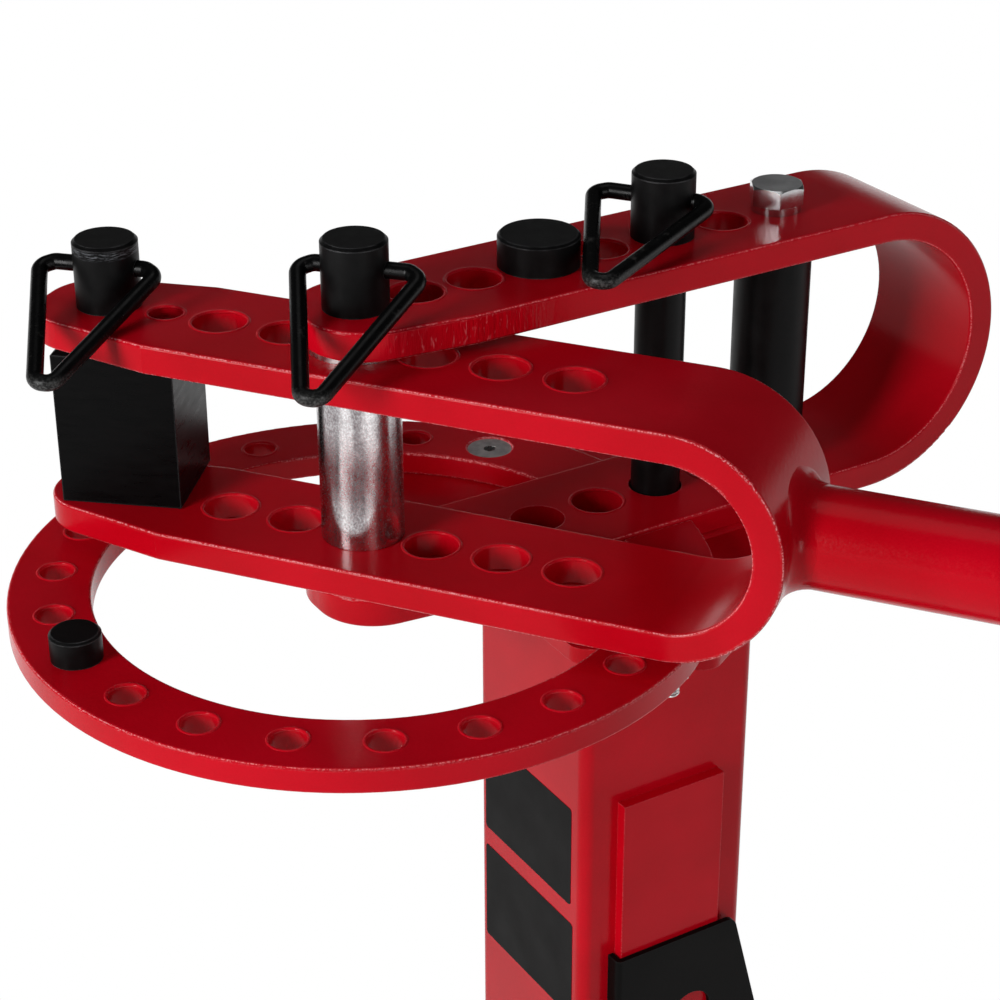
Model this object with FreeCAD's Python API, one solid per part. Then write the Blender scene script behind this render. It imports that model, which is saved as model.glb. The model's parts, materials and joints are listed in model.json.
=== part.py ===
import FreeCAD, Part
import math
import os
from FreeCAD import Vector

# Universal pipe bender on a pedestal, in millimetres.
# The origin is the middle of the base plate's underside, +Z is up and the fixed yoke points along +X.
# A fixed hairpin yoke stands on the column. A second hairpin yoke swings between its legs on the centre pin.

# Stand
base_side = 340.0
base_thickness = 10.0
base_corner_radius = 18.0
floor_hole_d = 14.0
floor_hole_spacing = 276.0
column_side = 100.0
column_wall = 4.0
column_corner_radius = 6.0
column_height = 860.0
gusset_height = 110.0
gusset_reach = 85.0
gusset_thickness = 8.0
gusset_nose = 14.0

# Top plate that carries the yoke and the angle ring
top_plate_thickness = 8.0
top_plate_corner_radius = 9.0
top_plate_front = 56.0
top_plate_front_half_width = 91.5
top_plate_wing_x = 106.0
top_plate_wing_half_width = 129.0
top_plate_back_half_width = 76.0
top_plate_back_margin = 8.0

# Flat bar that both yokes are bent from
bar_width = 73.0
bar_thickness = 14.0
bar_edge_radius = 1.6
bar_cut_margin = 1.0

# Fixed yoke, measured along +X from the centre pin
pivot_to_column = 140.0
fixed_bend_x = 268.0
fixed_taper_x = 40.0
fixed_nose_reach = 25.5
fixed_nose_half_width = 29.5
fixed_nose_radius = 29.0
fixed_hole_first = 30.0
fixed_hole_second = 60.0
fixed_row_start = 94.0
hole_pitch = 34.0
fixed_row_count = 4
fixed_pin_hole = 2
pin_hole_d = 26.0

# Swing yoke, measured along the handle from the centre pin
swing_angle = -53.4
swing_bend_u = 153.5
swing_taper_u = 88.0
swing_nose_reach = 157.5
swing_nose_half_width = 24.5
swing_nose_radius = 25.0
swing_holes_each_way = 2
swing_extra_holes = 1
follower_offset = 124.4
index_hole_offset = 95.3
index_hole_d = 17.0
lower_gap = 5.0
upper_gap = 4.0

# Centre die and follower block between the swing yoke's legs
die_height = 79.0
die_end_play = 0.25
die_d = 38.0
die_bore_d = 24.2
block_width = 57.0
block_depth = 51.0
block_bore_from_side = 24.0
block_bore_from_front = 19.0
block_bore_d = 24.2
block_turn = 13.0
block_chamfer = 5.0

# Pins and their wire bails
pin_d = 24.0
pin_head_d = 30.0
pin_head_height = 32.2
pin_head_chamfer = 1.5
pin_tip_chamfer = 3.0
pin_tip_beyond = 4.0
pin_tip_clearance = 1.0
bail_height = 18.5
wire_d = 7.6
wire_clearance = 0.1
wire_bend_radius = 5.0
bail_end_gap = 3.0
bail_straight = 21.9
bail_half_width = 28.0
bail_shoulder_drop = 4.0
bail_tip_half_width = 4.2
bail_length = 75.5
fixed_bail_turn = -53.0
fixed_bail_tilt = 79.3
fixed_bail_slide = -4.9
centre_bail_turn = -47.0
centre_bail_tilt = 65.5
centre_bail_slide = 3.0
follower_bail_turn = -45.0
follower_bail_tilt = 69.0
follower_bail_slide = -3.0

# Cap pin in the fixed yoke and stop pin in the angle ring
cap_d = 38.0
cap_height = 15.0
cap_shank_length = 16.0
stop_head_d = 23.0
stop_head_height = 13.0
stop_shank_d = 16.0
stop_shank_length = 18.0
small_head_chamfer = 1.2

# Thrust washers round the centre pin
thrust_d = 46.0
thrust_clearance = 0.2

# Angle ring
ring_outer_radius = 162.5
ring_width = 37.8
ring_hole_from_rim = 20.4
ring_thickness = 12.0
ring_hole_d = 17.0
ring_hole_first_angle = 35.0
ring_hole_step = 16.15
ring_hole_count = 17
ring_front_screw_angle = -49.3
ring_front_screw_from_rim = 17.5
ring_end_clearance = 0.3
ring_edge_radius = 1.2
stop_hole_index = 9

# Countersunk socket screws and nuts that hold the ring
ring_screw_d = 10.0
ring_screw_hole_d = 11.0
ring_screw_head_d = 22.4
ring_sink_d = 24.0
ring_screw_socket_flats = 6.0
ring_screw_socket_depth = 4.5
ring_screw_end_beyond = 6.0
ring_screw_end_chamfer = 1.0
ring_nut_flats = 17.0
ring_nut_height = 8.0

# Post between the fixed yoke's legs
post_x = 228.0
post_d = 37.0
post_bore_d = 18.0

# Hex fasteners of 16 mm thread that clamp the post
bolt_d = 16.0
bolt_hole_d = 17.0
hex_flats = 24.0
bolt_head_height = 9.0
nut_height = 13.0
lock_washer_d = 24.0
lock_washer_thickness = 4.0
washer_d = 30.0
washer_thickness = 3.0
bolt_end_beyond = 4.0
hex_chamfer_angle = 30.0

# Handle and its socket
socket_d = 45.0
socket_wall = 3.0
socket_length = 190.0
handle_clearance = 0.4
handle_wall = 2.5
handle_length = 950.0
handle_inserted = 150.0
handle_stop_thickness = 4.0
grip_length = 150.0
grip_wall = 4.0
grip_end_wall = 5.0
grip_rib_count = 7
grip_rib_depth = 1.2
clamp_bolt_d = 10.0
clamp_bolt_flats = 17.0
clamp_head_height = 7.0
clamp_nut_height = 10.0
clamp_bolt_from_end = 30.0
clamp_shank_showing = 12.0
clamp_thread_clearance = 0.1

# Pad and folded bracket on the column's side
pad_width = 60.0
pad_height = 190.0
pad_thickness = 6.0
pad_below_yoke = 140.0
bracket_below_yoke = 232.0
bracket_sheet = 3.0
bracket_top_width = 73.0
bracket_height = 130.0
bracket_lean = 14.7
bracket_side_gap = 1.0
bracket_corner_radius = 6.0
bracket_hole_d = 24.0
bracket_hole_drop = 50.0
bracket_hole_from_side = 47.0
screw_d = 8.0
screw_flats = 13.0
screw_head_height = 5.5
screw_hole_d = 8.4
screw_drop = 84.0
screw_spacing = 34.0
pad_tapped_clearance = 0.1

# Levels, from the floor up
column_top = base_thickness + column_height
plate_top = column_top + top_plate_thickness
yoke_seat = plate_top + bar_thickness
swing_gap = die_height + 2 * die_end_play
swing_low = yoke_seat + lower_gap
swing_height = swing_gap + 2 * bar_thickness
swing_top = swing_low + swing_height
fixed_gap = lower_gap + swing_height + upper_gap
fixed_top = yoke_seat + fixed_gap + bar_thickness
fixed_height = fixed_gap + 2 * bar_thickness
swing_mid = swing_low + swing_height / 2
ring_top = plate_top + ring_thickness
half_bar = bar_width / 2
pivot_x = -pivot_to_column
pad_face = -column_side / 2
fixed_pin_x = fixed_row_start + fixed_pin_hole * hole_pitch
stop_angle = ring_hole_first_angle + stop_hole_index * ring_hole_step
ring_inner_radius = ring_outer_radius - ring_width
ring_hole_radius = ring_outer_radius - ring_hole_from_rim

UP = Vector(0, 0, 1)
PIVOT = Vector(pivot_x, 0, 0)


def outline(points, radii):
    """Flat face in the XY plane through corner points, each corner rounded by its radius."""
    count = len(points)
    corners = [Vector(x, y, 0) for x, y in points]
    starts = []
    ends = []
    arcs = []
    for i in range(count):
        here = corners[i]
        to_last = (corners[i - 1] - here).normalize()
        to_next = (corners[(i + 1) % count] - here).normalize()
        radius = radii[i]
        if radius <= 0:
            starts.append(here)
            ends.append(here)
            arcs.append(None)
            continue
        half = to_last.getAngle(to_next) / 2
        tangent = radius / math.tan(half)
        start = here + to_last * tangent
        end = here + to_next * tangent
        middle = (to_last + to_next).normalize()
        centre = here + middle * (radius / math.sin(half))
        arcs.append(Part.Arc(start, centre - middle * radius, end).toShape())
        starts.append(start)
        ends.append(end)
    edges = []
    for i in range(count):
        if arcs[i] is not None:
            edges.append(arcs[i])
        following = starts[(i + 1) % count]
        if (following - ends[i]).Length > 0.001:
            edges.append(Part.LineSegment(ends[i], following).toShape())
    return Part.Face(Part.Wire(edges))


def plate(points, radii, z, thickness):
    face = outline(points, radii)
    face.translate(Vector(0, 0, z))
    return face.extrude(UP * thickness)


def cylinder(x, y, z, d, height):
    return Part.makeCylinder(d / 2, height, Vector(x, y, z))


def tube(x, y, z, d, bore, height):
    return cylinder(x, y, z, d, height).cut(cylinder(x, y, z, bore, height))


def turned(profile, x, y):
    """Solid of revolution about the vertical line at x, y from (radius, z) points."""
    points = [Vector(r, 0, z) for r, z in profile]
    points.append(points[0])
    solid = Part.Face(Part.makePolygon(points)).revolve(Vector(0, 0, 0), UP, 360)
    solid.translate(Vector(x, y, 0))
    return solid


def broad_edges(solid, width):
    """Edges along the bar, without the upright ones and the seams that cross it."""
    chosen = []
    for edge in solid.Edges:
        box = edge.BoundBox
        upright = box.XLength < 0.01 and box.YLength < 0.01
        seam = box.XLength < 0.01 and box.ZLength < 0.01 and box.YLength > 0.95 * width
        if not upright and not seam:
            chosen.append(edge)
    return chosen


def hairpin(low, height, bend_x, near_x):
    """Flat bar bent into a hairpin that opens towards -X, as wide as the bar."""
    high = low + height
    inner_low = low + bar_thickness
    inner_high = high - bar_thickness
    mid = (low + high) / 2
    outer = height / 2
    inner = outer - bar_thickness

    def at(x, z):
        return Vector(x, -half_bar, z)

    edges = [
        Part.LineSegment(at(near_x, low), at(bend_x, low)).toShape(),
        Part.Arc(at(bend_x, low), at(bend_x + outer, mid), at(bend_x, high)).toShape(),
        Part.LineSegment(at(bend_x, high), at(near_x, high)).toShape(),
        Part.LineSegment(at(near_x, high), at(near_x, inner_high)).toShape(),
        Part.LineSegment(at(near_x, inner_high), at(bend_x, inner_high)).toShape(),
        Part.Arc(at(bend_x, inner_high), at(bend_x + inner, mid), at(bend_x, inner_low)).toShape(),
        Part.LineSegment(at(bend_x, inner_low), at(near_x, inner_low)).toShape(),
        Part.LineSegment(at(near_x, inner_low), at(near_x, low)).toShape(),
    ]
    return Part.Face(Part.Wire(edges)).extrude(Vector(0, bar_width, 0))


def yoke(low, height, bend_x, taper_x, nose_x, nose_half_width, nose_radius):
    """Hairpin with its two legs cut to a tapered, rounded nose and its edges broken."""
    blank = hairpin(low, height, bend_x, nose_x)
    far_x = bend_x + height
    points = [
        (far_x, -half_bar), (far_x, half_bar), (taper_x, half_bar), (nose_x, nose_half_width),
        (nose_x, -nose_half_width), (taper_x, -half_bar),
    ]
    radii = [0, 0, 0, nose_radius, nose_radius, 0]
    trimmed = blank.common(plate(points, radii, low - bar_cut_margin, height + 2 * bar_cut_margin))
    solid = trimmed.Solids[0]
    return solid.makeFillet(bar_edge_radius, broad_edges(solid, bar_width))


def to_swing(shape):
    """Turn a shape made along +X about the pivot into the swing yoke's place."""
    moved = shape.copy()
    moved.rotate(PIVOT, UP, swing_angle)
    return moved


def swing_point(u, v=0.0):
    angle = math.radians(swing_angle)
    x = pivot_x + u * math.cos(angle) - v * math.sin(angle)
    y = u * math.sin(angle) + v * math.cos(angle)
    return x, y


def ring_point(angle, radius=ring_hole_radius):
    turn = math.radians(angle)
    return pivot_x + radius * math.cos(turn), radius * math.sin(turn)


def ring_screw_places():
    """The rear screw takes a hole of the row, the front one stands a little further out."""
    front_radius = ring_outer_radius - ring_front_screw_from_rim
    return ring_point(ring_hole_first_angle), ring_point(ring_front_screw_angle, front_radius)


def hexagon(x, y, z, flats, height, chamfer_top=True):
    """Hex prism whose upper or lower corners are turned off."""
    corner = flats / math.sqrt(3)
    points = []
    for i in range(7):
        turn = math.radians(60 * i)
        points.append(Vector(x + corner * math.cos(turn), y + corner * math.sin(turn), z))
    prism = Part.Face(Part.makePolygon(points)).extrude(UP * height)
    rise = (corner - flats / 2) * math.tan(math.radians(hex_chamfer_angle))
    low = z
    high = z + height
    if chamfer_top:
        profile = [(0, low), (corner, low), (corner, high - rise), (flats / 2, high), (0, high)]
    else:
        profile = [(0, low), (flats / 2, low), (corner, low + rise), (corner, high), (0, high)]
    return prism.common(turned(profile, x, y))


def base_plate():
    half = base_side / 2
    points = [(-half, -half), (half, -half), (half, half), (-half, half)]
    solid = plate(points, [base_corner_radius] * 4, 0, base_thickness)
    reach = floor_hole_spacing / 2
    for x in (-reach, reach):
        for y in (-reach, reach):
            solid = solid.cut(cylinder(x, y, 0, floor_hole_d, base_thickness))
    return solid


def square(side, radius):
    half = side / 2
    return [(-half, -half), (half, -half), (half, half), (-half, half)], [radius] * 4


def column():
    outer_points, outer_radii = square(column_side, column_corner_radius)
    inner_radius = max(column_corner_radius - column_wall, 0.5)
    inner_points, inner_radii = square(column_side - 2 * column_wall, inner_radius)
    outer = plate(outer_points, outer_radii, base_thickness, column_height)
    return outer.cut(plate(inner_points, inner_radii, base_thickness, column_height))


def column_gussets():
    """Four triangular ribs between the base plate and the middle of each column side."""
    foot = column_side / 2
    points = [
        Vector(foot, 0, base_thickness), Vector(foot + gusset_reach, 0, base_thickness),
        Vector(foot + gusset_reach, 0, base_thickness + gusset_nose),
        Vector(foot + gusset_nose, 0, base_thickness + gusset_height),
        Vector(foot, 0, base_thickness + gusset_height), Vector(foot, 0, base_thickness),
    ]
    rib = Part.Face(Part.makePolygon(points)).extrude(Vector(0, gusset_thickness, 0))
    rib.translate(Vector(0, -gusset_thickness / 2, 0))
    ribs = []
    for i in range(4):
        copy = rib.copy()
        copy.rotate(Vector(0, 0, 0), UP, 90 * i)
        ribs.append(copy)
    return Part.makeCompound(ribs)


def top_plate():
    back = column_side / 2 + top_plate_back_margin
    half_outline = [
        (pivot_x + top_plate_front, top_plate_front_half_width),
        (pivot_x + top_plate_wing_x, top_plate_wing_half_width),
        (back, top_plate_back_half_width),
    ]
    mirrored = [(x, -y) for x, y in reversed(half_outline)]
    points = half_outline + mirrored
    solid = plate(points, [top_plate_corner_radius] * len(points), column_top, top_plate_thickness)
    for x, y in ring_screw_places():
        solid = solid.cut(cylinder(x, y, column_top, ring_screw_hole_d, top_plate_thickness))
    return solid


def fixed_yoke():
    nose_x = pivot_x - fixed_nose_reach
    solid = yoke(plate_top, fixed_height, pivot_x + fixed_bend_x, pivot_x + fixed_taper_x, nose_x,
                 fixed_nose_half_width, fixed_nose_radius)
    row = [fixed_row_start + i * hole_pitch for i in range(fixed_row_count)]
    for x in [0.0, fixed_hole_first, fixed_hole_second] + row:
        solid = solid.cut(cylinder(pivot_x + x, 0, plate_top, pin_hole_d, fixed_height))
    return solid.cut(cylinder(pivot_x + post_x, 0, plate_top, bolt_hole_d, fixed_height))


def angle_ring():
    """Flat ring about the pivot, open where the fixed yoke's lower leg passes."""
    ring = tube(pivot_x, 0, plate_top, 2 * ring_outer_radius, 2 * ring_inner_radius, ring_thickness)
    half_gap = half_bar + ring_end_clearance
    gap = Part.makeBox(ring_outer_radius, 2 * half_gap, ring_thickness, Vector(pivot_x, -half_gap, plate_top))
    ring = ring.cut(gap).Solids[0]
    rims = [e for e in ring.Edges if e.BoundBox.ZLength < 0.01 and e.BoundBox.DiagonalLength > ring_inner_radius]
    ring = ring.makeFillet(ring_edge_radius, rims)
    angles = [ring_hole_first_angle + i * ring_hole_step for i in range(ring_hole_count)]
    for angle in angles[1:]:
        x, y = ring_point(angle)
        ring = ring.cut(cylinder(x, y, plate_top, ring_hole_d, ring_thickness))
    for x, y in ring_screw_places():
        ring = ring.cut(cylinder(x, y, plate_top, ring_screw_hole_d, ring_thickness))
        sink = [(0, ring_top), (0, ring_top - ring_sink_d / 2), (ring_sink_d / 2, ring_top)]
        ring = ring.cut(turned(sink, x, y))
    return ring


def bolt(x, y, seat, length):
    """Hex bolt hanging from its washer seat."""
    head = hexagon(x, y, seat, hex_flats, bolt_head_height)
    return head.fuse(cylinder(x, y, seat - length, bolt_d, length)).removeSplitter()


def ring_fasteners():
    """Countersunk socket screws through the ring and the nuts under the top plate."""
    screws = []
    nuts = []
    head = ring_screw_head_d / 2
    shank = ring_screw_d / 2
    top = ring_top - (ring_sink_d - ring_screw_head_d) / 2
    nut_z = column_top - ring_nut_height
    tip = nut_z - ring_screw_end_beyond
    profile = [
        (0, tip), (shank - ring_screw_end_chamfer, tip), (shank, tip + ring_screw_end_chamfer),
        (shank, top - head + shank), (head, top), (0, top),
    ]
    for x, y in ring_screw_places():
        socket_z = top - ring_screw_socket_depth
        socket = hexagon(x, y, socket_z, ring_screw_socket_flats, ring_screw_socket_depth + 1, False)
        screws.append(turned(profile, x, y).cut(socket))
        nut = hexagon(x, y, nut_z, ring_nut_flats, ring_nut_height, False)
        nuts.append(nut.cut(cylinder(x, y, nut_z, ring_screw_d, ring_nut_height)))
    return Part.makeCompound(screws), Part.makeCompound(nuts)


def post():
    """Sleeve between the fixed yoke's legs with the long bolt that clamps it."""
    x = pivot_x + post_x
    sleeve = tube(x, 0, yoke_seat, post_d, post_bore_d, fixed_gap)
    seat = fixed_top + lock_washer_thickness
    nut_z = plate_top - washer_thickness - nut_height
    long_bolt = bolt(x, 0, seat, seat - nut_z + bolt_end_beyond)
    upper = tube(x, 0, fixed_top, lock_washer_d, bolt_hole_d, lock_washer_thickness)
    lower = tube(x, 0, plate_top - washer_thickness, washer_d, bolt_hole_d, washer_thickness)
    nut = hexagon(x, 0, nut_z, hex_flats, nut_height, False).cut(cylinder(x, 0, nut_z, bolt_d, nut_height))
    return sleeve, long_bolt, Part.makeCompound([upper, lower]), nut


def headed_pin(x, y, seat, tip, head_d, head_height, shank_d, head_chamfer, tip_chamfer):
    """Turned pin that rests on its head."""
    head = head_d / 2
    shank = shank_d / 2
    top = seat + head_height
    profile = [
        (0, tip), (shank - tip_chamfer, tip), (shank, tip + tip_chamfer), (shank, seat), (head, seat),
        (head, top - head_chamfer), (head - head_chamfer, top), (0, top),
    ]
    return turned(profile, x, y)


def bail_pin(x, y, seat, tip, turn):
    """Headed pin with a cross hole for its bail."""
    solid = headed_pin(x, y, seat, tip, pin_head_d, pin_head_height, pin_d, pin_head_chamfer, pin_tip_chamfer)
    along = Vector(math.cos(math.radians(turn)), math.sin(math.radians(turn)), 0)
    start = Vector(x, y, seat + bail_height) - along * pin_head_d
    hole = Part.makeCylinder(wire_d / 2 + wire_clearance, 2 * pin_head_d, start, along)
    return solid.cut(hole)


def wire_path(corners, radius):
    """Straight runs through the corners, joined by tangent arcs."""
    edges = []
    last = corners[0]
    for i in range(1, len(corners) - 1):
        here = corners[i]
        back = (corners[i - 1] - here).normalize()
        ahead = (corners[i + 1] - here).normalize()
        half = back.getAngle(ahead) / 2
        tangent = radius / math.tan(half)
        start = here + back * tangent
        end = here + ahead * tangent
        middle = (back + ahead).normalize()
        centre = here + middle * (radius / math.sin(half))
        edges.append(Part.LineSegment(last, start).toShape())
        edges.append(Part.Arc(start, centre - middle * radius, end).toShape())
        last = end
    edges.append(Part.LineSegment(last, corners[-1]).toShape())
    return Part.Wire(edges)


def bail(x, y, seat, turn, tilt, slide):
    """Wire loop in a pin's cross hole, slid along it. The tilt is measured from hanging straight down."""
    angle = math.radians(turn)
    lean = math.radians(tilt)
    along = Vector(math.cos(angle), math.sin(angle), 0)
    outward = Vector(math.sin(angle), -math.cos(angle), 0)
    down = outward * math.sin(lean) - UP * math.cos(lean)
    hub = Vector(x, y, seat + bail_height) + along * slide
    half_loop = [
        (bail_end_gap, 0), (bail_straight, 0), (bail_half_width, bail_shoulder_drop),
        (bail_tip_half_width, bail_length),
    ]
    left = [(-s, t) for s, t in half_loop]
    corners = [hub + along * s + down * t for s, t in left + half_loop[::-1]]
    path = wire_path(corners, wire_bend_radius)
    start = Part.Wire(Part.makeCircle(wire_d / 2, corners[0], along))
    return path.makePipeShell([start], True, True)


def swing_yoke():
    nose_x = pivot_x - swing_nose_reach
    solid = yoke(swing_low, swing_height, pivot_x + swing_bend_u, pivot_x - swing_taper_u, nose_x,
                 swing_nose_half_width, swing_nose_radius)
    first = -swing_holes_each_way
    last = swing_holes_each_way + swing_extra_holes
    for i in range(first, last + 1):
        solid = solid.cut(cylinder(pivot_x + i * hole_pitch, 0, swing_low, pin_hole_d, swing_height))
    solid = solid.cut(cylinder(pivot_x - follower_offset, 0, swing_low, pin_hole_d, swing_height))
    upper = swing_top - bar_thickness
    solid = solid.cut(cylinder(pivot_x - index_hole_offset, 0, upper, index_hole_d, bar_thickness))
    return to_swing(solid)


def thrust_washers():
    lower = tube(pivot_x, 0, yoke_seat + thrust_clearance, thrust_d, pin_hole_d, lower_gap - thrust_clearance)
    upper = tube(pivot_x, 0, swing_top, thrust_d, pin_hole_d, upper_gap - thrust_clearance)
    return Part.makeCompound([lower, upper])


def centre_die():
    return tube(pivot_x, 0, swing_low + bar_thickness + die_end_play, die_d, die_bore_d, die_height)


def follower_block():
    """Square block with an off-centre bore, its upper and lower edges chamfered."""
    x = pivot_x - follower_offset
    z = swing_low + bar_thickness + die_end_play
    corner = Vector(x - block_bore_from_side, -block_bore_from_front, z)
    box = Part.makeBox(block_width, block_depth, die_height, corner)
    top = z + die_height
    rims = [e for e in box.Edges if e.BoundBox.ZLength < 0.01 and e.BoundBox.ZMin > top - 0.01]
    block = box.makeChamfer(block_chamfer, rims)
    block = block.cut(cylinder(x, 0, z, block_bore_d, die_height))
    block.rotate(Vector(x, 0, 0), UP, block_turn)
    return to_swing(block)


def socket_start():
    return pivot_x + swing_bend_u + swing_height / 2


def lying_tube(start_x, length, d, bore):
    """Tube along +X at the swing yoke's middle height."""
    outer = Part.makeCylinder(d / 2, length, Vector(start_x, 0, swing_mid), Vector(1, 0, 0))
    return outer.cut(Part.makeCylinder(bore / 2, length, Vector(start_x, 0, swing_mid), Vector(1, 0, 0)))


def handle_socket():
    """Tube coped onto the outside of the swing yoke's bend."""
    bend_x = pivot_x + swing_bend_u
    length = socket_start() + socket_length - bend_x
    socket = lying_tube(bend_x, length, socket_d, socket_d - 2 * socket_wall)
    axis_start = Vector(bend_x, -half_bar, swing_mid)
    bend = Part.makeCylinder(swing_height / 2, bar_width, axis_start, Vector(0, 1, 0))
    socket = socket.cut(bend)
    hole_x = socket_start() + socket_length - clamp_bolt_from_end
    hole = cylinder(hole_x, 0, swing_mid, clamp_bolt_d + 2 * clamp_thread_clearance, socket_d)
    return to_swing(socket.cut(hole).Solids[0])


def clamp_fastener():
    """Nut welded on the socket and the hex bolt that presses on the handle."""
    x = socket_start() + socket_length - clamp_bolt_from_end
    saddle = swing_mid + math.sqrt((socket_d / 2) ** 2 - (clamp_bolt_flats / math.sqrt(3)) ** 2)
    nut = hexagon(x, 0, saddle, clamp_bolt_flats, clamp_nut_height)
    body = Part.makeCylinder(socket_d / 2, 2 * clamp_bolt_flats, Vector(x - clamp_bolt_flats, 0, swing_mid),
                             Vector(1, 0, 0))
    nut = nut.cut(body).cut(cylinder(x, 0, swing_mid, clamp_bolt_d + 2 * clamp_thread_clearance, socket_d))
    nut_top = saddle + clamp_nut_height
    tip = swing_mid + handle_d() / 2 + handle_clearance / 4
    head_z = nut_top + clamp_shank_showing
    screw = hexagon(x, 0, head_z, clamp_bolt_flats, clamp_head_height)
    screw = screw.fuse(cylinder(x, 0, tip, clamp_bolt_d, head_z - tip)).removeSplitter()
    return to_swing(nut), to_swing(screw)


def handle_d():
    return socket_d - 2 * socket_wall - 2 * handle_clearance


def handle_start():
    return socket_start() + socket_length - handle_inserted


def handle_tube():
    return to_swing(lying_tube(handle_start(), handle_length, handle_d(), handle_d() - 2 * handle_wall))


def handle_plug():
    """Disc that closes the handle's inner end."""
    x = handle_start()
    disc = Part.makeCylinder(handle_d() / 2 - handle_wall, handle_stop_thickness, Vector(x, 0, swing_mid),
                             Vector(1, 0, 0))
    return to_swing(disc)


def handle_grip():
    """Closed rubber sleeve on the handle's end, with raised ribs."""
    bore = handle_d() / 2
    outer = bore + grip_wall
    end = handle_start() + handle_length
    start = end - grip_length
    pitch = grip_length / (grip_rib_count + 1)
    profile = [(start, bore), (start, outer)]
    for i in range(grip_rib_count):
        middle = start + (i + 1) * pitch
        profile += [
            (middle - pitch / 3, outer), (middle - pitch / 6, outer + grip_rib_depth),
            (middle + pitch / 6, outer + grip_rib_depth), (middle + pitch / 3, outer),
        ]
    tip = end + grip_end_wall
    profile += [(end, outer), (tip, outer - grip_end_wall / 2), (tip, 0), (end, 0), (end, bore)]
    points = [Vector(x, 0, r) for x, r in profile]
    points.append(points[0])
    solid = Part.Face(Part.makePolygon(points)).revolve(Vector(0, 0, 0), Vector(1, 0, 0), 360)
    solid.translate(Vector(0, 0, swing_mid))
    return to_swing(solid)


def column_pad():
    top = yoke_seat - pad_below_yoke
    corner = Vector(-pad_width / 2, pad_face - pad_thickness, top - pad_height)
    pad = Part.makeBox(pad_width, pad_thickness, pad_height, corner)
    for x in screw_places():
        pad = pad.cut(screw_hole(x, screw_d + 2 * pad_tapped_clearance))
    return pad


def screw_places():
    return (-screw_spacing / 2, screw_spacing / 2)


def screw_height():
    return yoke_seat - bracket_below_yoke - screw_drop


def screw_hole(x, d):
    start = Vector(x, pad_face - pad_thickness - bracket_sheet, screw_height())
    return Part.makeCylinder(d / 2, pad_thickness + bracket_sheet, start, Vector(0, 1, 0))


def side_bracket():
    """Black sheet on the pad, its left edge folded back to the column and its right edge leaning out."""
    top = yoke_seat - bracket_below_yoke
    low = top - bracket_height
    left = -pad_width / 2 - bracket_side_gap - bracket_sheet
    right = left + bracket_top_width
    lean = bracket_height * math.tan(math.radians(bracket_lean))
    points = [(left, low), (right + lean, low), (right, top), (left, top)]
    face = outline(points, [0, bracket_corner_radius, bracket_corner_radius, 0])
    face.rotate(Vector(0, 0, 0), Vector(1, 0, 0), 90)
    front = pad_face - pad_thickness
    face.translate(Vector(0, front, 0))
    sheet = face.extrude(Vector(0, -bracket_sheet, 0))
    flange = Part.makeBox(bracket_sheet, pad_thickness, bracket_height, Vector(left, front, low))
    solid = sheet.fuse(flange).removeSplitter()
    fold = [e for e in solid.Edges if is_fold(e, left, front - bracket_sheet)]
    solid = solid.makeFillet(bracket_sheet, fold)
    hole_z = top - bracket_hole_drop
    start = Vector(left + bracket_hole_from_side, front - 2 * bracket_sheet, hole_z)
    solid = solid.cut(Part.makeCylinder(bracket_hole_d / 2, 3 * bracket_sheet, start, Vector(0, 1, 0)))
    for x in screw_places():
        solid = solid.cut(screw_hole(x, screw_hole_d))
    return solid


def is_fold(edge, x, y):
    box = edge.BoundBox
    return abs(box.XMin - x) < 0.01 and box.XLength < 0.01 and abs(box.YMin - y) < 0.01 and box.YLength < 0.01


def bracket_screws():
    screws = []
    for x in screw_places():
        front = pad_face - pad_thickness - bracket_sheet
        head = hexagon(0, 0, 0, screw_flats, screw_head_height)
        shank = cylinder(0, 0, -pad_thickness - bracket_sheet, screw_d, pad_thickness + bracket_sheet)
        screw = head.fuse(shank).removeSplitter()
        screw.rotate(Vector(0, 0, 0), Vector(1, 0, 0), 90)
        screw.translate(Vector(x, front, screw_height()))
        screws.append(screw)
    return Part.makeCompound(screws)


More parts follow.
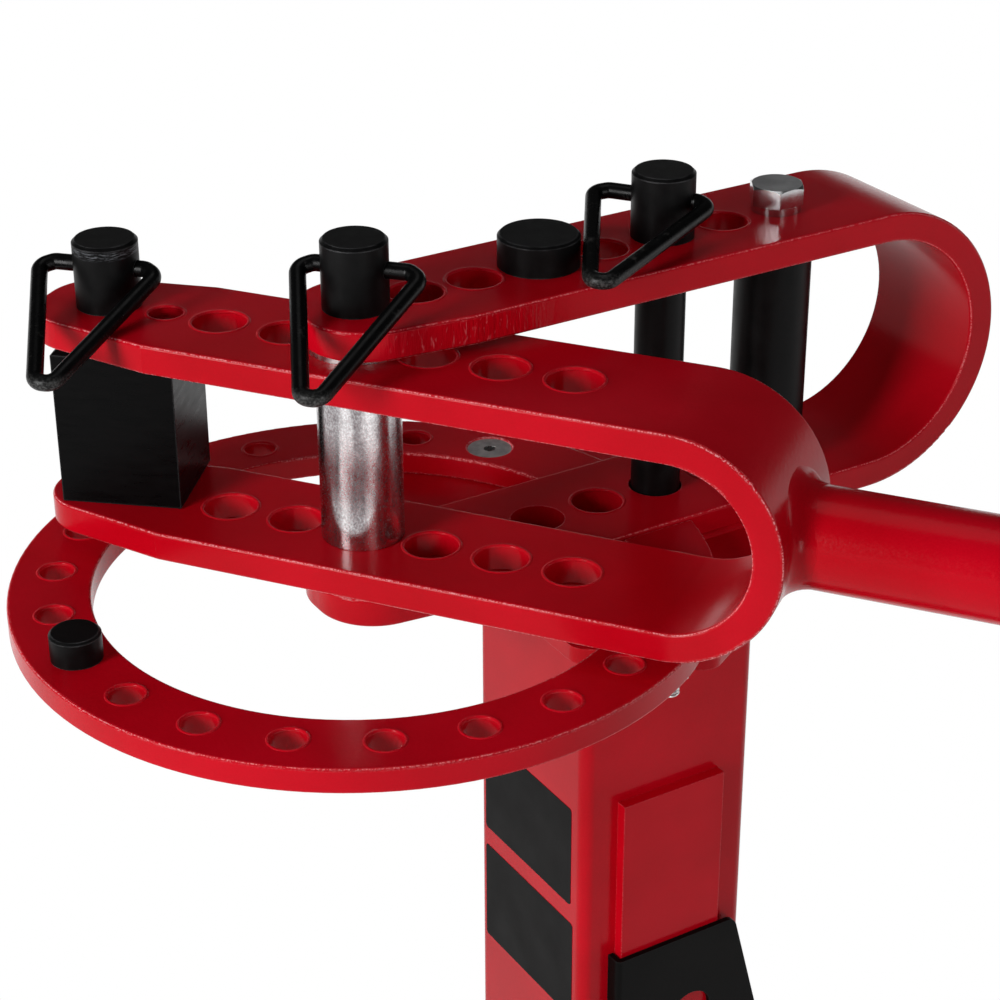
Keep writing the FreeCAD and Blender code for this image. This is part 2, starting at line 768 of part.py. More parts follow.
def build():
    """All sub-parts by name."""
    parts = {}
    parts["base_plate"] = base_plate()
    parts["column"] = column()
    parts["column_gussets"] = column_gussets()
    parts["top_plate"] = top_plate()
    parts["fixed_yoke"] = fixed_yoke()
    parts["angle_ring"] = angle_ring()
    parts["ring_screws"], parts["ring_nuts"] = ring_fasteners()
    parts["post_sleeve"], parts["post_bolt"], parts["post_washers"], parts["post_nut"] = post()
    parts["column_pad"] = column_pad()
    parts["side_bracket"] = side_bracket()
    parts["bracket_screws"] = bracket_screws()

    fixed_x = pivot_x + fixed_pin_x
    parts["fixed_pin"] = bail_pin(fixed_x, 0, fixed_top, plate_top + pin_tip_clearance, fixed_bail_turn)
    parts["fixed_pin_bail"] = bail(fixed_x, 0, fixed_top, fixed_bail_turn, fixed_bail_tilt, fixed_bail_slide)
    cap_x = pivot_x + fixed_row_start
    parts["cap_pin"] = headed_pin(cap_x, 0, fixed_top, fixed_top - cap_shank_length, cap_d, cap_height, pin_d,
                                  small_head_chamfer, pin_head_chamfer)
    stop_x, stop_y = ring_point(stop_angle)
    parts["stop_pin"] = headed_pin(stop_x, stop_y, ring_top, ring_top - stop_shank_length, stop_head_d,
                                   stop_head_height, stop_shank_d, small_head_chamfer, pin_head_chamfer)

    parts["swing_yoke"] = swing_yoke()
    parts["thrust_washers"] = thrust_washers()
    parts["handle_socket"] = handle_socket()
    parts["clamp_nut"], parts["clamp_bolt"] = clamp_fastener()
    parts["handle_tube"] = handle_tube()
    parts["handle_plug"] = handle_plug()
    parts["handle_grip"] = handle_grip()
    parts["centre_die"] = centre_die()
    parts["centre_pin"] = bail_pin(pivot_x, 0, fixed_top, plate_top - pin_tip_beyond, centre_bail_turn)
    parts["centre_pin_bail"] = bail(pivot_x, 0, fixed_top, centre_bail_turn, centre_bail_tilt,
                                    centre_bail_slide)
    follower_x, follower_y = swing_point(-follower_offset)
    parts["follower_pin"] = bail_pin(follower_x, follower_y, swing_top, swing_low, follower_bail_turn)
    parts["follower_pin_bail"] = bail(follower_x, follower_y, swing_top, follower_bail_turn, follower_bail_tilt,
                                      follower_bail_slide)
    parts["follower_block"] = follower_block()
    return parts


def main():
    os.makedirs("parts", exist_ok=True)
    for name, shape in build().items():
        shape.exportStep(f"parts/{name}.step")
        print(name, len(shape.Solids), "solids", round(shape.Volume / 1000, 1), "cm3", shape.isValid())


main()
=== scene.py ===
import json
import math

import bmesh
import bpy
from mathutils import Matrix, Vector, noise


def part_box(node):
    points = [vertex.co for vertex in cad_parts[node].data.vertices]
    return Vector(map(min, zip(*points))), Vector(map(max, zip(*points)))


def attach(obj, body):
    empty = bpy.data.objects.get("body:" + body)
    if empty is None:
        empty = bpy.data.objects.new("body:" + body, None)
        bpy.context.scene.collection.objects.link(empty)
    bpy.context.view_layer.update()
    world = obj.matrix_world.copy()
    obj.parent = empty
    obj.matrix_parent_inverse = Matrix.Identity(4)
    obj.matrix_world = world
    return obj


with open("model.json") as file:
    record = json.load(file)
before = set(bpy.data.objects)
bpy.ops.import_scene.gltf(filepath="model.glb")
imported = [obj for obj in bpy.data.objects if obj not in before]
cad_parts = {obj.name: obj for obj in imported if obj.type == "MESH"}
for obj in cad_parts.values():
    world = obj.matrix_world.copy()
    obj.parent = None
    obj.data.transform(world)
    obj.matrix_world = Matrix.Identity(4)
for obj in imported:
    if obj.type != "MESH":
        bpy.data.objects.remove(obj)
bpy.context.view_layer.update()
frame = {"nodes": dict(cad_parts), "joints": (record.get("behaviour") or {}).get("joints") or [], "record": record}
nodes = frame["nodes"]
joints = {joint["name"]: joint for joint in frame["joints"]}
slot_of = {part["node"]: part["material_slot"] for part in frame["record"]["subparts"]}

MM = 0.001
UP = Vector((0, 0, 1))

# Places read from the frame
pivot = Vector(joints["swing"]["pos_m"])
along = Vector(joints["handle_slide"]["axis"]).normalized()
across = UP.cross(along)
column_low, column_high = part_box("column")
top_plate_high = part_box("top_plate")[1]
base_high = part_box("base_plate")[1]
swing_low, swing_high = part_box("swing_yoke")

# Sizes of the bars, tubes and screws that the details sit on
bar_half_width = 36.5 * MM
swing_bend_distance = 153.5 * MM
swing_bend_radius = (swing_high.z - swing_low.z) / 2
socket_radius = 22.5 * MM
pin_hole_radius = 13.0 * MM
small_hole_radius = 8.5 * MM
ring_hole_circle = 142.1 * MM
ring_hole_first_angle = 35.0
ring_hole_step = 16.15
ring_hole_count = 17
stop_pin_hole = 9
ring_screw_places = ((ring_hole_first_angle, ring_hole_circle), (-49.3, 145.0 * MM))
front_screw_extra = 4.0 * MM
ring_screw_radius = 5.0 * MM
bar_thickness = 14.0 * MM
post_distance = 228.0 * MM
post_bolt_radius = 8.0 * MM
clamp_bolt_radius = 5.0 * MM
clamp_head_height = 7.0 * MM
gusset_thickness = 8.0 * MM
gusset_reach = 85.0 * MM
gusset_height = 110.0 * MM

# Places of open holes along the bars, in millimetres from the pivot
fixed_open_holes = (30, 60, 128, 196)
swing_open_holes = (-68, -34, 34, 68, 102)
index_hole_distance = 95.3


# Small helpers for node trees

def new_material(name):
    material = bpy.data.materials.new(name)
    material.use_nodes = True
    material.node_tree.nodes.clear()
    return material, material.node_tree


def add(tree, kind, **settings):
    node = tree.nodes.new(kind)
    for key, value in settings.items():
        setattr(node, key, value)
    return node


def link(tree, source, target):
    tree.links.new(source, target)


def object_point(tree, centre=(0, 0, 0), scale=(1, 1, 1)):
    """Object coordinates, measured from a centre and stretched."""
    coordinates = add(tree, "ShaderNodeTexCoord")
    mapping = add(tree, "ShaderNodeMapping")
    mapping.inputs["Location"].default_value = [-c * s for c, s in zip(centre, scale)]
    mapping.inputs["Scale"].default_value = scale
    link(tree, coordinates.outputs["Object"], mapping.inputs["Vector"])
    return mapping.outputs["Vector"]


def noise_value(tree, point, scale, detail=2.0, rough=0.5, distortion=0.0):
    texture = add(tree, "ShaderNodeTexNoise")
    texture.inputs["Scale"].default_value = scale
    texture.inputs["Detail"].default_value = detail
    texture.inputs["Roughness"].default_value = rough
    texture.inputs["Distortion"].default_value = distortion
    link(tree, point, texture.inputs["Vector"])
    return texture.outputs["Fac"]


def mapped(tree, value, low, high, to_low, to_high):
    node = add(tree, "ShaderNodeMapRange")
    for index, number in enumerate((low, high, to_low, to_high)):
        node.inputs[index + 1].default_value = number
    link(tree, value, node.inputs["Value"])
    return node.outputs["Result"]


def maths(tree, operation, first, second):
    node = add(tree, "ShaderNodeMath", operation=operation)
    for index, value in enumerate((first, second)):
        if isinstance(value, (int, float)):
            node.inputs[index].default_value = value
        else:
            link(tree, value, node.inputs[index])
    return node.outputs["Value"]


def blended(tree, factor, first, second):
    """Colour between two colours, either of them a constant or a socket."""
    node = add(tree, "ShaderNodeMix", data_type="RGBA")
    for index, value in ((6, first), (7, second)):
        if isinstance(value, tuple):
            node.inputs[index].default_value = (*value, 1)
        else:
            link(tree, value, node.inputs[index])
    link(tree, factor, node.inputs[0])
    return node.outputs[2]


def edge_mask(tree, radius, low, high):
    """1 on convex and concave edges, 0 on flat faces."""
    rounded = add(tree, "ShaderNodeBevel", samples=4)
    rounded.inputs["Radius"].default_value = radius
    geometry = add(tree, "ShaderNodeNewGeometry")
    dot = add(tree, "ShaderNodeVectorMath", operation="DOT_PRODUCT")
    link(tree, rounded.outputs["Normal"], dot.inputs[0])
    link(tree, geometry.outputs["Normal"], dot.inputs[1])
    return mapped(tree, dot.outputs["Value"], high, low, 0.0, 1.0)


def soft_edge_normal(tree, radius):
    rounded = add(tree, "ShaderNodeBevel", samples=4)
    rounded.inputs["Radius"].default_value = radius
    return rounded.outputs["Normal"]


def bumped(tree, height, distance, strength, normal=None):
    bump = add(tree, "ShaderNodeBump")
    bump.inputs["Strength"].default_value = strength
    bump.inputs["Distance"].default_value = distance
    link(tree, height, bump.inputs["Height"])
    if normal is not None:
        link(tree, normal, bump.inputs["Normal"])
    return bump.outputs["Normal"]


def surface(tree, colour, roughness, normal=None, **constants):
    """Principled shader with linked colour and roughness and constant other sockets."""
    shader = add(tree, "ShaderNodeBsdfPrincipled")
    output = add(tree, "ShaderNodeOutputMaterial")
    link(tree, colour, shader.inputs["Base Color"])
    link(tree, roughness, shader.inputs["Roughness"])
    if normal is not None:
        link(tree, normal, shader.inputs["Normal"])
    for name, value in constants.items():
        shader.inputs[name.replace("_", " ")].default_value = value
    link(tree, shader.outputs["BSDF"], output.inputs["Surface"])


# Finishes

def near_line(tree, centre, reach, upright=0.0):
    """1 near the upright line through a point, falling to 0 at the reach; near the point alone where upright is 1."""
    away = add(tree, "ShaderNodeVectorMath", operation="LENGTH")
    link(tree, object_point(tree, centre, (1, 1, upright)), away.inputs[0])
    return mapped(tree, away.outputs["Value"], 0.75 * reach, reach, 1.0, 0.0)


def facing(tree, direction):
    """How far a face turns to a direction of its own piece or against it, from 0 to 1."""
    coordinates = add(tree, "ShaderNodeTexCoord")
    dot = add(tree, "ShaderNodeVectorMath", operation="DOT_PRODUCT")
    dot.inputs[1].default_value = tuple(direction)
    link(tree, coordinates.outputs["Normal"], dot.inputs[0])
    return maths(tree, "ABSOLUTE", dot.outputs["Value"], 0)


def rim_mask(tree, axis, start=None):
    """1 on rounded edges between faces square to an axis and along it, from a distance off the pivot on."""
    turn = facing(tree, axis)
    rim = maths(tree, "MULTIPLY", mapped(tree, turn, 0.50, 0.66, 0.0, 1.0), mapped(tree, turn, 0.78, 0.90, 1.0, 0.0))
    if start is None:
        return rim
    dot = add(tree, "ShaderNodeVectorMath", operation="DOT_PRODUCT")
    dot.inputs[1].default_value = tuple(axis)
    link(tree, object_point(tree, pivot), dot.inputs[0])
    away = maths(tree, "ABSOLUTE", dot.outputs["Value"], 0)
    return maths(tree, "MULTIPLY", rim, mapped(tree, away, start - 0.3 * MM, start, 0.0, 1.0))


def red_paint(name, peel=1.0, edge_glint_strength=0.15, rim=None, nose=None, cut=None):
    """Glossy red powder coat with orange peel, its edges painted a lighter red and dotted with bright specks as a
    painted highlight.

    The rim is an axis and the distance at which the rounded edges square to it start, the nose the place of the
    round end, both given the painted edge highlight, and the cut a place whose upright faces keep the streaks of flame
    cutting under the coat, with painted glints on them."""
    material, tree = new_material(name)
    point = object_point(tree)
    broad = noise_value(tree, point, 14.0, 3.0)
    peel_height = noise_value(tree, point, 480.0, 1.5, 0.45)
    grain = noise_value(tree, point, 1250.0, 1.5)
    spread = maths(tree, "ADD", mapped(tree, broad, 0.35, 0.65, 0.0, 0.8), mapped(tree, grain, 0.35, 0.65, 0.0, 0.2))
    body = blended(tree, spread, (0.47, 0.0008, 0.007), (0.60, 0.0015, 0.012))
    roughness = mapped(tree, grain, 0.3, 0.7, 0.14, 0.27)
    normal = bumped(tree, peel_height, 0.11 * MM, 0.55 * peel, soft_edge_normal(tree, 0.6 * MM))
    normal = bumped(tree, grain, 0.040 * MM, 0.6 * peel, normal)
    if edge_glint_strength > 0:
        edges = edge_mask(tree, 0.9 * MM, 0.93, 0.995)
        if rim is not None:
            edges = maths(tree, "MAXIMUM", edges, rim_mask(tree, *rim))
        if nose is not None:
            edges = maths(tree, "MAXIMUM", edges, maths(tree, "MULTIPLY", rim_mask(tree, UP), near_line(tree, *nose)))
        edge_glints = mapped(tree, noise_value(tree, point, 1250.0, 2.0, 0.6), 0.47, 0.56, 0.0, edge_glint_strength)
        # Edges, rims and nose painted a lighter red, then dotted with bright pale specks: a painted highlight with
        # painted glints.
        body = blended(tree, mapped(tree, edges, 0.0, 1.0, 0.0, 0.30), body, (0.80, 0.02, 0.04))
        body = blended(tree, maths(tree, "MULTIPLY", edges, edge_glints), body, (1.0, 0.48, 0.50))
    if cut is not None:
        upright = mapped(tree, facing(tree, UP), 0.25, 0.6, 1.0, 0.0)
        flamed = maths(tree, "MULTIPLY", near_line(tree, *cut, 1.0), upright)
        streaks = noise_value(tree, object_point(tree, scale=(1, 1, 0.12)), 300.0, 3.0, 0.65)
        normal = bumped(tree, maths(tree, "MULTIPLY", flamed, streaks), 1.3 * MM, 0.7, normal)
        # Pale pink marks on the flame-cut faces: painted glints.
        ridges = noise_value(tree, object_point(tree, scale=(1, 1, 0.3)), 520.0, 2.0, 0.5, 0.6)
        glints = maths(tree, "MULTIPLY", flamed, mapped(tree, ridges, 0.60, 0.74, 0.0, 0.28))
        body = blended(tree, glints, body, (0.95, 0.30, 0.33))
    surface(tree, body, roughness, normal, Specular_IOR_Level=0.11)
    return material


def black_oxide(name, centre, top=None):
    """Blackened steel turned round an upright axis through the centre, scratched below its top where that is given."""
    material, tree = new_material(name)
    point = object_point(tree, centre)
    rings = add(tree, "ShaderNodeTexWave", wave_type="RINGS", rings_direction="Z")
    rings.inputs["Scale"].default_value = 420.0
    rings.inputs["Distortion"].default_value = 1.2
    rings.inputs["Detail"].default_value = 1.0
    link(tree, point, rings.inputs["Vector"])
    blotch = noise_value(tree, point, 90.0, 4.0, 0.6)
    grain = noise_value(tree, point, 1500.0, 2.0)
    # Edges lighter grey in blotches: partly rubbed wear, partly a painted highlight on the chamfers.
    edges = maths(tree, "MULTIPLY", edge_mask(tree, 0.9 * MM, 0.90, 0.99), mapped(tree, blotch, 0.40, 0.60, 0.1, 0.7))
    body = blended(tree, mapped(tree, blotch, 0.3, 0.7, 0.0, 1.0), (0.0022, 0.0022, 0.0023), (0.005, 0.0048, 0.005))
    body = blended(tree, edges, body, (0.13, 0.13, 0.135))
    if top is not None:
        height = add(tree, "ShaderNodeSeparateXYZ")
        link(tree, object_point(tree), height.inputs["Vector"])
        drop = maths(tree, "SUBTRACT", top, height.outputs["Z"])
        band = maths(tree, "MULTIPLY", mapped(tree, drop, 1.6 * MM, 2.4 * MM, 0.0, 1.0),
                     mapped(tree, drop, 4.6 * MM, 6.4 * MM, 1.0, 0.0))
        scratches = noise_value(tree, object_point(tree, centre, (1, 1, 9)), 210.0, 3.0, 0.7)
        marks = mapped(tree, scratches, 0.50, 0.60, 0.0, 0.55)
        body = blended(tree, maths(tree, "MULTIPLY", band, marks), body, (0.20, 0.21, 0.23))
    roughness = mapped(tree, blotch, 0.3, 0.7, 0.32, 0.46)
    normal = bumped(tree, rings.outputs["Fac"], 0.02 * MM, 0.35, soft_edge_normal(tree, 0.5 * MM))
    normal = bumped(tree, grain, 0.02 * MM, 0.4, normal)
    surface(tree, body, roughness, normal, Specular_IOR_Level=0.09)
    return material


def black_block():
    """Sawn and blackened square bar whose chamfers are painted lighter, a painted highlight."""
    material, tree = new_material("black_block")
    point = object_point(tree)
    saw = noise_value(tree, object_point(tree, scale=(1, 1, 5)), 60.0, 4.0, 0.6)
    grain = noise_value(tree, point, 1300.0, 2.0)
    edges = edge_mask(tree, 1.2 * MM, 0.90, 0.99)
    body = blended(tree, mapped(tree, saw, 0.3, 0.7, 0.0, 1.0), (0.0012, 0.0012, 0.0013), (0.0025, 0.0024, 0.0025))
    # Chamfers painted lighter grey: a painted highlight.
    lit_edges = blended(tree, mapped(tree, edges, 0.0, 1.0, 0.0, 0.4), body, (0.08, 0.08, 0.082))
    roughness = mapped(tree, saw, 0.3, 0.7, 0.24, 0.36)
    normal = bumped(tree, saw, 0.012 * MM, 0.4, soft_edge_normal(tree, 0.6 * MM))
    normal = bumped(tree, grain, 0.02 * MM, 0.3, normal)
    surface(tree, lit_edges, roughness, normal, Specular_IOR_Level=0.06)
    return material


def black_wire(name, tip):
    """Drawn wire under thin black, rubbed bare in places and greyer at the loop's low tip."""
    material, tree = new_material(name)
    point = object_point(tree)
    blotch = noise_value(tree, point, 210.0, 4.0, 0.65)
    rub = mapped(tree, noise_value(tree, point, 75.0, 4.0, 0.7), 0.62, 0.72, 0.0, 0.5)
    height = add(tree, "ShaderNodeSeparateXYZ")
    link(tree, point, height.inputs["Vector"])
    low = mapped(tree, height.outputs["Z"], tip + 4 * MM, tip + 8 * MM, 1.0, 0.0)
    speckled = mapped(tree, noise_value(tree, point, 900.0, 2.0, 0.6), 0.45, 0.65, 0.1, 0.7)
    body = blended(tree, rub, (0.002, 0.002, 0.0021), (0.06, 0.057, 0.055))
    body = blended(tree, maths(tree, "MULTIPLY", low, speckled), body, (0.10, 0.10, 0.098))
    roughness = mapped(tree, blotch, 0.3, 0.7, 0.22, 0.38)
    normal = bumped(tree, blotch, 0.03 * MM, 0.4)
    surface(tree, body, roughness, normal, Specular_IOR_Level=0.14)
    return material


def zinc(name):
    """Bright zinc plating with a faint mottle, duller where it faces up."""
    material, tree = new_material(name)
    point = object_point(tree)
    mottle = noise_value(tree, point, 260.0, 4.0, 0.6)
    grain = noise_value(tree, point, 1700.0, 2.0)
    edges = edge_mask(tree, 0.8 * MM, 0.90, 0.99)
    body = blended(tree, mapped(tree, mottle, 0.3, 0.7, 0.0, 1.0), (0.42, 0.42, 0.43), (0.68, 0.67, 0.66))
    # Edges painted lighter: a painted highlight.
    lit = blended(tree, mapped(tree, edges, 0.0, 1.0, 0.0, 0.6), body, (0.88, 0.88, 0.86))
    level = mapped(tree, facing(tree, UP), 0.90, 0.99, 0.0, 0.42)
    roughness = maths(tree, "ADD", mapped(tree, mottle, 0.3, 0.7, 0.20, 0.36), level)
    normal = bumped(tree, grain, 0.02 * MM, 0.35, soft_edge_normal(tree, 0.4 * MM))
    surface(tree, lit, roughness, normal, Metallic=1.0)
    return material


def bright_plate():
    """Smooth, bright plating of the bolt and its washers, scuffed dull on top."""
    material, tree = new_material("bright_plate")
    point = object_point(tree)
    tint = noise_value(tree, point, 120.0, 2.0)
    grain = noise_value(tree, point, 1600.0, 2.0)
    body = blended(tree, mapped(tree, tint, 0.3, 0.7, 0.0, 1.0), (0.50, 0.50, 0.51), (0.66, 0.66, 0.67))
    level = mapped(tree, facing(tree, UP), 0.90, 0.99, 0.0, 0.46)
    roughness = maths(tree, "ADD", mapped(tree, grain, 0.3, 0.7, 0.12, 0.22), level)
    normal = bumped(tree, grain, 0.012 * MM, 0.3, soft_edge_normal(tree, 0.4 * MM))
    surface(tree, body, roughness, normal, Metallic=1.0)
    return material


def plated_die(centre):
    """Bar under bright, speckled plating with two lighter bands along its length, painted highlights of the lamps."""
    across_reflections = (0.857, -0.515, 0)
    reflection_wobble = 1.8 * MM
    reflection_shift = 5.7 * MM
    reflection_spacing = 11 * MM
    material, tree = new_material("plated_die")
    point = object_point(tree, centre)
    side = add(tree, "ShaderNodeVectorMath", operation="DOT_PRODUCT")
    side.inputs[1].default_value = across_reflections
    link(tree, point, side.inputs[0])
    drift = noise_value(tree, object_point(tree, scale=(1, 1, 0.3)), 110.0, 3.0)
    wobble = mapped(tree, drift, 0.3, 0.7, -reflection_wobble, reflection_wobble)
    across_bar = maths(tree, "ADD", side.outputs["Value"], wobble)
    # Two lighter streaks along the bar, strongest near its middle: painted highlights of the lamps.
    phase = maths(tree, "MULTIPLY", maths(tree, "ADD", across_bar, reflection_shift), 2 * math.pi / reflection_spacing)
    reflection_band = mapped(tree, maths(tree, "COSINE", phase, 0), -0.6, 1.0, 0.0, 1.0)
    middle = mapped(tree, maths(tree, "ABSOLUTE", side.outputs["Value"], 0), 8 * MM, 15 * MM, 1.0, 0.1)
    patch = noise_value(tree, object_point(tree, scale=(1, 1, 0.5)), 130.0, 4.0, 0.6, 0.4)
    fine = noise_value(tree, object_point(tree, scale=(1, 1, 0.7)), 1150.0, 2.0, 0.65)
    streaks = maths(tree, "MULTIPLY", maths(tree, "MULTIPLY", reflection_band, middle), 0.58)
    mottle = maths(tree, "ADD", mapped(tree, patch, 0.35, 0.65, 0.0, 0.22), mapped(tree, fine, 0.35, 0.62, 0.0, 0.30))
    tone = maths(tree, "ADD", streaks, mottle)
    body = blended(tree, tone, (0.20, 0.175, 0.185), (0.98, 0.97, 0.98))
    roughness = mapped(tree, fine, 0.3, 0.7, 0.30, 0.14)
    normal = bumped(tree, fine, 0.05 * MM, 0.7, soft_edge_normal(tree, 0.5 * MM))
    normal = bumped(tree, patch, 0.20 * MM, 0.5, normal)
    surface(tree, body, roughness, normal, Metallic=1.0)
    return material


def black_sheet():
    """Folded sheet under a fine black powder coat."""
    material, tree = new_material("black_sheet")
    point = object_point(tree)
    grain = noise_value(tree, point, 1100.0, 2.0)
    broad = noise_value(tree, point, 30.0, 3.0)
    edges = edge_mask(tree, 0.9 * MM, 0.90, 0.99)
    body = blended(tree, mapped(tree, broad, 0.3, 0.7, 0.0, 1.0), (0.0020, 0.0018, 0.0017), (0.0038, 0.0034, 0.0032))
    # Edges painted lighter grey: a painted highlight.
    lit_edges = blended(tree, mapped(tree, edges, 0.0, 1.0, 0.0, 0.3), body, (0.05, 0.05, 0.05))
    roughness = mapped(tree, grain, 0.3, 0.7, 0.42, 0.56)
    normal = bumped(tree, grain, 0.04 * MM, 0.5, soft_edge_normal(tree, 0.5 * MM))
    surface(tree, lit_edges, roughness, normal, Specular_IOR_Level=0.055)
    return material


def grip_rubber():
    """Matte moulded rubber with a fine skin and dust in its low places."""
    material, tree = new_material("grip_rubber")
    point = object_point(tree)
    grain = noise_value(tree, point, 800.0, 3.0)
    dust = noise_value(tree, point, 35.0, 4.0)
    body = blended(tree, mapped(tree, dust, 0.4, 0.8, 0.0, 1.0), (0.014, 0.014, 0.014), (0.035, 0.034, 0.033))
    roughness = mapped(tree, grain, 0.3, 0.7, 0.62, 0.80)
    normal = bumped(tree, grain, 0.08 * MM, 0.6)
    surface(tree, body, roughness, normal)
    return material


def blank_label():
    """Plain charcoal film."""
    material, tree = new_material("blank_label")
    point = object_point(tree)
    film_grain = noise_value(tree, point, 2200.0, 1.0)
    ripple = noise_value(tree, point, 45.0, 2.0)
    share = mapped(tree, film_grain, 0.3, 0.7, 0.0, 1.0)
    body = blended(tree, share, (0.0045, 0.0040, 0.0040), (0.0075, 0.0068, 0.0066))
    roughness = mapped(tree, ripple, 0.3, 0.7, 0.40, 0.50)
    normal = bumped(tree, ripple, 0.15 * MM, 0.3)
    surface(tree, body, roughness, normal, Specular_IOR_Level=0.04)
    return material


def pin_centre(node):
    low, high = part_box(node)
    return ((low.x + high.x) / 2, (low.y + high.y) / 2, 0)


def dress_nodes():
    """Give every CAD node its finish."""
    shared = {
        "red_paint": red_paint("red_paint"),
        "zinc_steel": zinc("zinc_steel"),
        "plated_die": plated_die(pin_centre("centre_die")),
        "black_sheet": black_sheet(),
        "grip_rubber": grip_rubber(),
    }
    edge_start = bar_half_width - 2.5 * MM
    nose_reach = 52 * MM
    fixed_cut_reach = 45 * MM
    swing_cut_reach = 22 * MM
    fixed_cut = Vector((pivot.x + 35 * MM, -30 * MM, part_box("fixed_yoke")[1].z))
    swing_nose = Vector((*(pivot - along * 125 * MM).xy, swing_high.z))
    swing_cut = swing_nose + across * 30 * MM
    own = {
        "follower_block": black_block(),
        "post_bolt": bright_plate(),
        "angle_ring": red_paint("red_paint_ring", edge_glint_strength=0.6, rim=(UP,)),
        "fixed_yoke": red_paint("red_paint_fixed_yoke", edge_glint_strength=0.4, rim=(Vector((0, 1, 0)), edge_start),
                                nose=(pivot, nose_reach), cut=(fixed_cut, fixed_cut_reach)),
        "swing_yoke": red_paint("red_paint_swing_yoke", edge_glint_strength=0.7, rim=(across, edge_start),
                                nose=(swing_nose, nose_reach), cut=(swing_cut, swing_cut_reach)),
    }
    own["post_washers"] = own["post_bolt"]
    for name, piece in nodes.items():
        if name in own:
            finish = own[name]
        elif slot_of[name] == "black_wire":
            finish = black_wire(name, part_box(name)[0].z)
        elif slot_of[name] == "black_steel":
            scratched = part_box(name)[1].z if name == "follower_pin" else None
            finish = black_oxide(f"black_oxide_{name}", pin_centre(name), scratched)
        else:
            finish = shared[slot_of[name]]
        piece.material_slots[0].material = finish
    return shared


# Geometry node trees for what repeats or follows a path

def new_geometry_tree(name, numbers):
    tree = bpy.data.node_groups.new(name, "GeometryNodeTree")
    tree.interface.new_socket("Geometry", in_out="INPUT", socket_type="NodeSocketGeometry")
    for label, value in numbers.items():
        socket = tree.interface.new_socket(label, in_out="INPUT", socket_type="NodeSocketFloat")
        socket.default_value = value
    tree.interface.new_socket("Material", in_out="INPUT", socket_type="NodeSocketMaterial")
    tree.interface.new_socket("Geometry", in_out="OUTPUT", socket_type="NodeSocketGeometry")
    return tree, add(tree, "NodeGroupInput"), add(tree, "NodeGroupOutput")


def end_tree(tree, source, group_in, group_out):
    """Smooth faces, real geometry and a finish at the end of a tree."""
    smooth = add(tree, "GeometryNodeSetShadeSmooth")
    real = add(tree, "GeometryNodeRealizeInstances")
    finish = add(tree, "GeometryNodeSetMaterial")
    link(tree, source, smooth.inputs["Geometry"])
    link(tree, smooth.outputs["Geometry"], real.inputs["Geometry"])
    link(tree, real.outputs["Geometry"], finish.inputs["Geometry"])
    link(tree, group_in.outputs["Material"], finish.inputs["Material"])
    link(tree, finish.outputs["Geometry"], group_out.inputs["Geometry"])


def weld_tree():
    """Bead along a path, its radius rising and falling with each drop of the weld."""
    numbers = {"Bead Radius": 3 * MM, "Ripple Pitch": 2.2 * MM, "Ripple Depth": 0.12, "Step": 0.5 * MM}
    tree, group_in, group_out = new_geometry_tree("weld_bead", numbers)
    to_curve = add(tree, "GeometryNodeMeshToCurve")
    sampled = add(tree, "GeometryNodeResampleCurve", mode="LENGTH")
    spline = add(tree, "GeometryNodeSplineParameter")
    profile = add(tree, "GeometryNodeCurvePrimitiveCircle")
    profile.inputs["Resolution"].default_value = 10
    bead = add(tree, "GeometryNodeCurveToMesh")
    bead.inputs["Fill Caps"].default_value = True
    turns = maths(tree, "DIVIDE", spline.outputs["Length"], group_in.outputs["Ripple Pitch"])
    wave = maths(tree, "ABSOLUTE", maths(tree, "SINE", maths(tree, "MULTIPLY", turns, math.pi), 0), 0)
    size = maths(tree, "ADD", maths(tree, "MULTIPLY", wave, group_in.outputs["Ripple Depth"]), 1.0)
    link(tree, group_in.outputs["Geometry"], to_curve.inputs["Mesh"])
    link(tree, to_curve.outputs["Curve"], sampled.inputs["Curve"])
    link(tree, group_in.outputs["Step"], sampled.inputs["Length"])
    link(tree, group_in.outputs["Bead Radius"], profile.inputs["Radius"])
    link(tree, sampled.outputs["Curve"], bead.inputs["Curve"])
    link(tree, profile.outputs["Curve"], bead.inputs["Profile Curve"])
    link(tree, size, bead.inputs["Scale"])
    end_tree(tree, bead.outputs["Mesh"], group_in, group_out)
    return tree


def thread_tree():
    """Helical ridge of a screw thread, standing on the XY plane round the Z axis."""
    numbers = {"Thread Radius": 6 * MM, "Pitch": 1.75 * MM, "Length": 5 * MM}
    tree, group_in, group_out = new_geometry_tree("screw_thread", numbers)
    helix = add(tree, "GeometryNodeCurveSpiral")
    helix.inputs["Resolution"].default_value = 40
    profile = add(tree, "GeometryNodeCurvePrimitiveCircle")
    profile.inputs["Resolution"].default_value = 4
    ridge = add(tree, "GeometryNodeCurveToMesh")
    ridge.inputs["Fill Caps"].default_value = True
    half_pitch = maths(tree, "MULTIPLY", group_in.outputs["Pitch"], 0.42)
    centre = maths(tree, "SUBTRACT", group_in.outputs["Thread Radius"], maths(tree, "MULTIPLY", half_pitch, 0.6))
    turns = maths(tree, "DIVIDE", group_in.outputs["Length"], group_in.outputs["Pitch"])
    link(tree, turns, helix.inputs["Rotations"])
    link(tree, centre, helix.inputs["Start Radius"])
    link(tree, centre, helix.inputs["End Radius"])
    link(tree, group_in.outputs["Length"], helix.inputs["Height"])
    link(tree, half_pitch, profile.inputs["Radius"])
    link(tree, helix.outputs["Curve"], ridge.inputs["Curve"])
    link(tree, profile.outputs["Curve"], ridge.inputs["Profile Curve"])
    end_tree(tree, ridge.outputs["Mesh"], group_in, group_out)
    return tree


